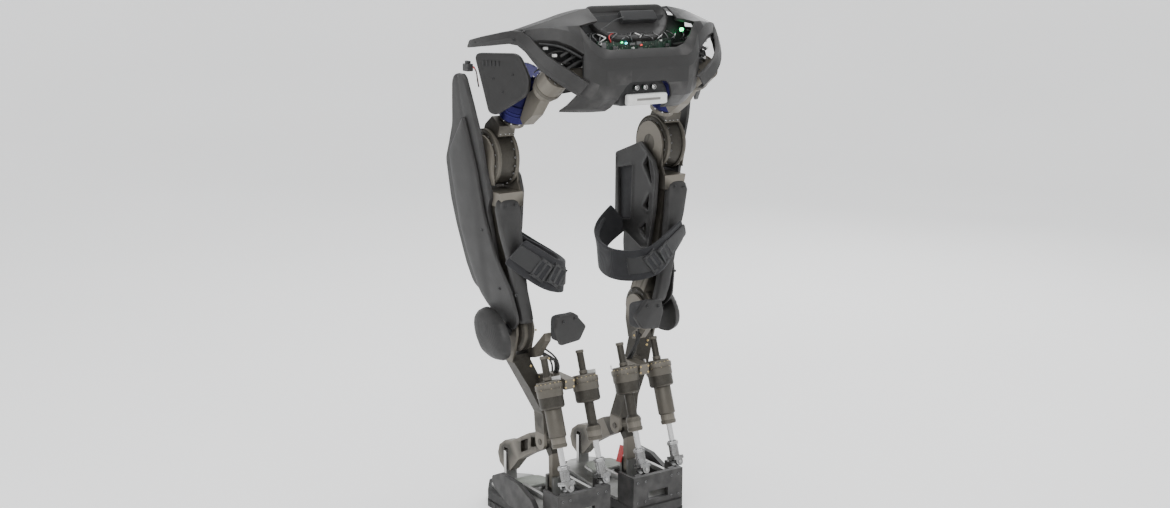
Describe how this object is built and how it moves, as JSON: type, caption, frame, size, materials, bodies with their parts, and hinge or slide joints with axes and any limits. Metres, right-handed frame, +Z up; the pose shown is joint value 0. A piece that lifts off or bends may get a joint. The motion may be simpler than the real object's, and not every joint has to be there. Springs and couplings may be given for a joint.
{
  "type": "wearable walking robot legs",
  "caption": "Pelvis unit with two powered robot legs: hip, knee and ankle drives, covers, thigh straps and flat feet.",
  "frame": {"origin": "on the floor between the feet, under the centre of the object's box", "axes": "+Z up, +Y forward (the way the machine walks), +X to its right"},
  "size_m": [0.6174, 0.442, 1.184],
  "materials": {
    "charcoal_plastic": "fine-grained moulded plastic, charcoal, satin to matte",
    "bronze_alloy": "hard-anodised machined aluminium, warm grey to bronze",
    "blue_alloy": "anodised aluminium, dark blue-violet",
    "bright_alloy": "machined aluminium, clear anodised",
    "bright_steel": "ground and brushed steel",
    "board_resin": "circuit board and connector block",
    "pale_plastic": "pale grey satin plastic",
    "cable_jacket": "black cable jacket",
    "webbing": "black woven webbing over soft foam",
    "soft_foam": "moulded black foam",
    "sole_rubber": "black layered sole rubber"
  },
  "bodies": {
    "pelvis": {"back_shell": "charcoal_plastic", "side_rails": "charcoal_plastic", "hatch_cover": "charcoal_plastic", "pelvis_frame": "bronze_alloy", "electronics": "board_resin", "carry_bar": "pale_plastic", "pelvis_cables": "cable_jacket", "hip_swing_drives": "bronze_alloy"},
    "hip_yoke_right": {"hip_yoke_right": "bronze_alloy", "hip_turn_drive_right": "blue_alloy", "hip_cover_right": "charcoal_plastic"},
    "hip_link_right": {"hip_drum_right": "bronze_alloy"},
    "thigh_right": {"thigh_frame_right": "bronze_alloy", "thigh_rear_cover_right": "charcoal_plastic", "thigh_side_cover_right": "charcoal_plastic", "thigh_blade_right": "charcoal_plastic", "thigh_truss_right": "charcoal_plastic", "thigh_cuff_right": "webbing", "knee_drive_right": "bronze_alloy", "knee_cap_right": "charcoal_plastic"},
    "shank_right": {"shank_frame_right": "bronze_alloy", "shin_pad_right": "soft_foam", "leg_cables_right": "cable_jacket"},
    "ankle_motors_right": {"motor_outer_right": "bronze_alloy", "motor_inner_right": "bronze_alloy"},
    "ankle_rods_right": {"rod_outer_right": "bright_steel", "rod_inner_right": "bright_steel"},
    "clevis_outer_right": {"clevis_outer_right": "bright_steel"},
    "clevis_inner_right": {"clevis_inner_right": "bright_steel"},
    "ankle_arm_right": {"ankle_arm_right": "bronze_alloy"},
    "foot_right": {"foot_frame_right": "bright_alloy", "heel_block_right": "charcoal_plastic", "side_guard_right": "charcoal_plastic", "sole_right": "sole_rubber"},
    "hip_yoke_left": {"hip_yoke_left": "bronze_alloy", "hip_turn_drive_left": "blue_alloy", "hip_cover_left": "charcoal_plastic"},
    "hip_link_left": {"hip_drum_left": "bronze_alloy"},
    "thigh_left": {"thigh_frame_left": "bronze_alloy", "thigh_rear_cover_left": "charcoal_plastic", "thigh_side_cover_left": "charcoal_plastic", "thigh_blade_left": "charcoal_plastic", "thigh_truss_left": "charcoal_plastic", "thigh_cuff_left": "webbing", "knee_drive_left": "bronze_alloy", "knee_cap_left": "charcoal_plastic"},
    "shank_left": {"shank_frame_left": "bronze_alloy", "shin_pad_left": "soft_foam", "leg_cables_left": "cable_jacket"},
    "ankle_motors_left": {"motor_outer_left": "bronze_alloy", "motor_inner_left": "bronze_alloy"},
    "ankle_rods_left": {"rod_outer_left": "bright_steel", "rod_inner_left": "bright_steel"},
    "clevis_outer_left": {"clevis_outer_left": "bright_steel"},
    "clevis_inner_left": {"clevis_inner_left": "bright_steel"},
    "ankle_arm_left": {"ankle_arm_left": "bronze_alloy"},
    "foot_left": {"foot_frame_left": "bright_alloy", "heel_block_left": "charcoal_plastic", "side_guard_left": "charcoal_plastic", "sole_left": "sole_rubber"}
  },
  "joints": [
    {"name": "hip_swing_right", "type": "hinge", "parent": "pelvis", "child": "hip_yoke_right", "pos_m": [0.192, -0.151, 1.026], "axis": [0, 0.8192, -0.5736], "range_deg": [-7, 3]},
    {"name": "hip_turn_right", "type": "hinge", "parent": "hip_yoke_right", "child": "hip_link_right", "pos_m": [0.2, -0.035, 0.99], "axis": [0, 0.5, -0.866], "range_deg": [-12, 3]},
    {"name": "hip_bend_right", "type": "hinge", "parent": "hip_link_right", "child": "thigh_right", "pos_m": [0.227, 0.034, 0.85], "axis": [1, 0, 0], "range_deg": [-15, 95]},
    {"name": "knee_right", "type": "hinge", "parent": "thigh_right", "child": "shank_right", "pos_m": [0.172, 0.03, 0.462], "axis": [1, 0, 0], "range_deg": [-85, 8], "deforming": ["shin_pad_right"]},
    {"name": "ankle_pitch_right", "type": "hinge", "parent": "shank_right", "child": "ankle_arm_right", "pos_m": [0.104, 0.01, 0.192], "axis": [1, 0, 0], "range_deg": [-15, 15]},
    {"name": "ankle_roll_right", "type": "hinge", "parent": "ankle_arm_right", "child": "foot_right", "pos_m": [0.104, 0.01, 0.104], "axis": [0, 1, 0], "range_deg": [-8, 8]},
    {"name": "motor_tilt_right", "type": "hinge", "parent": "shank_right", "child": "ankle_motors_right", "pos_m": [0.102, -0.063, 0.346], "axis": [1, 0, 0], "range_deg": [-7.5, 7.5]},
    {"name": "rod_stroke_right", "type": "slide", "parent": "ankle_motors_right", "child": "ankle_rods_right", "axis": [0, -0.3223, -0.9466], "range_m": [-0.033, 0.033]},
    {"name": "outer_trim_right", "type": "slide", "parent": "ankle_rods_right", "child": "clevis_outer_right", "axis": [0, -0.3223, -0.9466], "range_m": [-0.0075, 0.0075]},
    {"name": "inner_trim_right", "type": "slide", "parent": "ankle_rods_right", "child": "clevis_inner_right", "axis": [0, -0.3223, -0.9466], "range_m": [-0.0075, 0.0075]},
    {"name": "hip_swing_left", "type": "hinge", "parent": "pelvis", "child": "hip_yoke_left", "pos_m": [-0.192, -0.151, 1.026], "axis": [0, 0.8192, -0.5736], "range_deg": [-3, 7]},
    {"name": "hip_turn_left", "type": "hinge", "parent": "hip_yoke_left", "child": "hip_link_left", "pos_m": [-0.2, -0.035, 0.99], "axis": [0, -0.5, 0.866], "range_deg": [-12, 3]},
    {"name": "hip_bend_left", "type": "hinge", "parent": "hip_link_left", "child": "thigh_left", "pos_m": [-0.227, 0.034, 0.85], "axis": [1, 0, 0], "range_deg": [-15, 95]},
    {"name": "knee_left", "type": "hinge", "parent": "thigh_left", "child": "shank_left", "pos_m": [-0.172, 0.03, 0.462], "axis": [1, 0, 0], "range_deg": [-85, 8], "deforming": ["shin_pad_left"]},
    {"name": "ankle_pitch_left", "type": "hinge", "parent": "shank_left", "child": "ankle_arm_left", "pos_m": [-0.104, 0.01, 0.192], "axis": [1, 0, 0], "range_deg": [-15, 15]},
    {"name": "ankle_roll_left", "type": "hinge", "parent": "ankle_arm_left", "child": "foot_left", "pos_m": [-0.104, 0.01, 0.104], "axis": [0, 1, 0], "range_deg": [-8, 8]},
    {"name": "motor_tilt_left", "type": "hinge", "parent": "shank_left", "child": "ankle_motors_left", "pos_m": [-0.102, -0.063, 0.346], "axis": [1, 0, 0], "range_deg": [-7.5, 7.5]},
    {"name": "rod_stroke_left", "type": "slide", "parent": "ankle_motors_left", "child": "ankle_rods_left", "axis": [0, -0.3223, -0.9466], "range_m": [-0.033, 0.033]},
    {"name": "outer_trim_left", "type": "slide", "parent": "ankle_rods_left", "child": "clevis_outer_left", "axis": [0, -0.3223, -0.9466], "range_m": [-0.0075, 0.0075]},
    {"name": "inner_trim_left", "type": "slide", "parent": "ankle_rods_left", "child": "clevis_inner_left", "axis": [0, -0.3223, -0.9466], "range_m": [-0.0075, 0.0075]}
  ],
  "couplings": [
    {"joint": "motor_tilt_right", "follows": "ankle_pitch_right", "ratio": 0.46},
    {"joint": "rod_stroke_right", "follows": "ankle_pitch_right", "m_per_rad": 0.1187},
    {"joint": "outer_trim_right", "follows": "ankle_roll_right", "m_per_rad": 0.046},
    {"joint": "inner_trim_right", "follows": "ankle_roll_right", "m_per_rad": -0.049},
    {"joint": "motor_tilt_left", "follows": "ankle_pitch_left", "ratio": 0.46},
    {"joint": "rod_stroke_left", "follows": "ankle_pitch_left", "m_per_rad": 0.1187},
    {"joint": "outer_trim_left", "follows": "ankle_roll_left", "m_per_rad": -0.046},
    {"joint": "inner_trim_left", "follows": "ankle_roll_left", "m_per_rad": 0.049}
  ]
}
